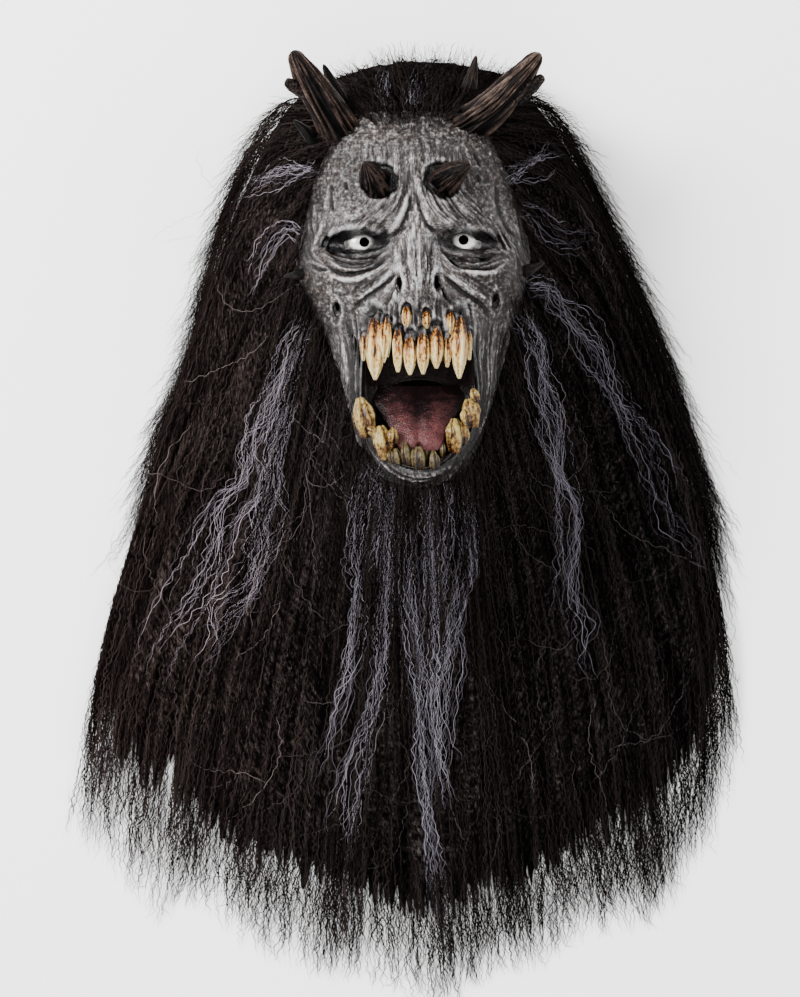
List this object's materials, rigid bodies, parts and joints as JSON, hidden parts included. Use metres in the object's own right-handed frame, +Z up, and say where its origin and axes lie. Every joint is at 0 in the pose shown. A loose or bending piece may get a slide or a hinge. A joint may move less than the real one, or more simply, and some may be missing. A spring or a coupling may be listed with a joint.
{
  "type": "wendigo mask",
  "caption": "Over-the-head horned monster mask of cast latex with open fanged mouth, brown horns and long dark crimped hair with grey streaks, lying on its back",
  "frame": {"origin": "under the middle of the whole mask, on the surface it lies on", "axes": "+X to the right of someone who looks at the face, +Y toward the crown and the horns, +Z up out of the face"},
  "size_m": [0.4848, 0.6897, 0.2201],
  "materials": {
    "latex_skin": "matt latex, light grey dry-brushed over black and brown",
    "horn": "semi-matt latex painted dark brown with black grooves",
    "tooth": "glossy resin, ivory tips stained amber and brown at the roots",
    "tongue": "glossy painted latex",
    "mouth_lining": "glossy black painted latex",
    "eye": "glossy white dome with a dark hole",
    "hair": "crimped synthetic hair, near black to dark brown",
    "grey_hair": "crimped synthetic hair, grey with a lavender tint"
  },
  "bodies": {
    "root": {"mask_head": "latex_skin", "tongue": "tongue", "eye_left": "eye", "eye_right": "eye", "upper_tooth_1": "tooth", "upper_tooth_2": "tooth", "upper_tooth_3": "tooth", "upper_tooth_4": "tooth", "upper_tooth_5": "tooth", "upper_tooth_6": "tooth", "upper_tooth_7": "tooth", "upper_tooth_8": "tooth", "upper_tooth_9": "tooth", "upper_tooth_10": "tooth", "upper_tooth_11": "tooth", "upper_tooth_12": "tooth", "upper_tooth_13": "tooth", "lower_tooth_1": "tooth", "lower_tooth_2": "tooth", "lower_tooth_3": "tooth", "lower_tooth_4": "tooth", "lower_tooth_5": "tooth", "lower_tooth_6": "tooth", "lower_tooth_7": "tooth", "lower_tooth_8": "tooth", "lower_tooth_9": "tooth", "lower_tooth_10": "tooth", "lower_tooth_11": "tooth", "lower_tooth_12": "tooth", "lower_tooth_13": "tooth", "horn_left": "horn", "horn_right": "horn", "horn_prong_left": "horn", "horn_prong_right": "horn", "brow_horn_left": "horn", "brow_horn_right": "horn", "temple_spike_left": "horn", "cheek_spike_left": "horn", "cheek_spike_right": "horn", "hair_left": "hair", "hair_beard": "hair", "hair_right": "hair", "hair_crown": "hair", "hair_back": "hair"}
  },
  "joints": []
}
